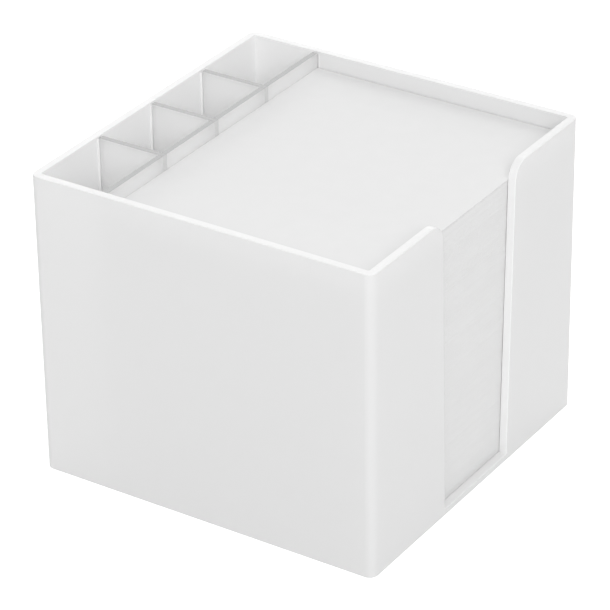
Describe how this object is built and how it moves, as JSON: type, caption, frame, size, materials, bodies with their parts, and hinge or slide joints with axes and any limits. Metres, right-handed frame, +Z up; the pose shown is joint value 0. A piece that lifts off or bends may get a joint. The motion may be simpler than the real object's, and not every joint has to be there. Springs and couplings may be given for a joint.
{
  "type": "memo box",
  "caption": "Square open desk box with a tapering thumb slot, a bay of loose note paper, and frosted lift-out plates that part off a row of pen compartments.",
  "frame": {"origin": "middle of the underside, on the surface that the box stands on", "axes": "+Z up, -Y out of the front wall with the thumb slot, +X along the pen strip, which lies at the back (+Y)"},
  "size_m": [0.1, 0.1, 0.085],
  "materials": {
    "white_plastic": "opaque white moulded polystyrene, satin gloss",
    "frosted_plastic": "frosted clear polystyrene plate, translucent, with sawn edges",
    "paper": "plain white uncoated note paper"
  },
  "bodies": {
    "box": {"box_body": "white_plastic"},
    "long_plate": {"long_divider": "frosted_plastic"},
    "cross_plate_1": {"cross_divider_1": "frosted_plastic"},
    "cross_plate_2": {"cross_divider_2": "frosted_plastic"},
    "cross_plate_3": {"cross_divider_3": "frosted_plastic"},
    "stack": {"paper_stack": "paper"},
    "sheet_1": {"memo_sheet_1": "paper"},
    "sheet_2": {"memo_sheet_2": "paper"},
    "sheet_3": {"memo_sheet_3": "paper"}
  },
  "joints": [
    {"name": "long_divider_lift", "type": "slide", "parent": "box", "child": "long_plate", "axis": [0, 0, 1], "range_m": [0, 0.088]},
    {"name": "cross_divider_1_lift", "type": "slide", "parent": "long_plate", "child": "cross_plate_1", "axis": [0, 0, 1], "range_m": [0, 0.088]},
    {"name": "cross_divider_2_lift", "type": "slide", "parent": "long_plate", "child": "cross_plate_2", "axis": [0, 0, 1], "range_m": [0, 0.088]},
    {"name": "cross_divider_3_lift", "type": "slide", "parent": "long_plate", "child": "cross_plate_3", "axis": [0, 0, 1], "range_m": [0, 0.088]},
    {"name": "paper_stack_lift", "type": "slide", "parent": "box", "child": "stack", "axis": [0, 0, 1], "range_m": [0, 0.088]},
    {"name": "memo_sheet_1_lift", "type": "slide", "parent": "stack", "child": "sheet_1", "axis": [0, 0, 1], "range_m": [0, 0.012]},
    {"name": "memo_sheet_2_lift", "type": "slide", "parent": "sheet_1", "child": "sheet_2", "axis": [0, 0, 1], "range_m": [0, 0.012]},
    {"name": "memo_sheet_3_lift", "type": "slide", "parent": "sheet_2", "child": "sheet_3", "axis": [0, 0, 1], "range_m": [0, 0.012]}
  ]
}
